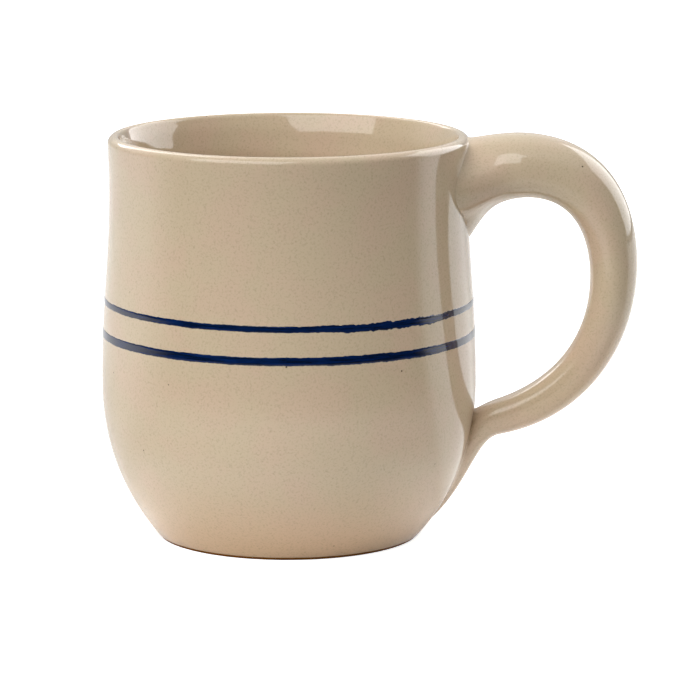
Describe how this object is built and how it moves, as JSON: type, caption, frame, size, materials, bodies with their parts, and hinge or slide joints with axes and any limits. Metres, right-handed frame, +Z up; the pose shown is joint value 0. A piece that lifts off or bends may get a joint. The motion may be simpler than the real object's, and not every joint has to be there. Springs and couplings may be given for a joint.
{
  "type": "stoneware mug",
  "caption": "Wheel-thrown stoneware mug with a bellied cup, flat base, rounded lip, pulled loop handle luted to the wall and cobalt lines round the belly.",
  "frame": {"origin": "middle of the flat base, on the axis that the cup was thrown about", "axes": "+Z up along the cup's axis, +X out through the middle of the handle"},
  "size_m": [0.1315, 0.0926, 0.1003],
  "materials": {
    "glazed_stoneware": "buff stoneware under a clear gloss glaze",
    "luting_slip": "fired joining slip under the glaze",
    "cobalt_slip": "brushed cobalt slip under the glaze"
  },
  "bodies": {
    "root": {"thrown_body": "glazed_stoneware", "pulled_handle": "glazed_stoneware", "upper_slip_joint": "luting_slip", "lower_slip_joint": "luting_slip", "upper_line": "cobalt_slip", "lower_line": "cobalt_slip"}
  },
  "joints": []
}
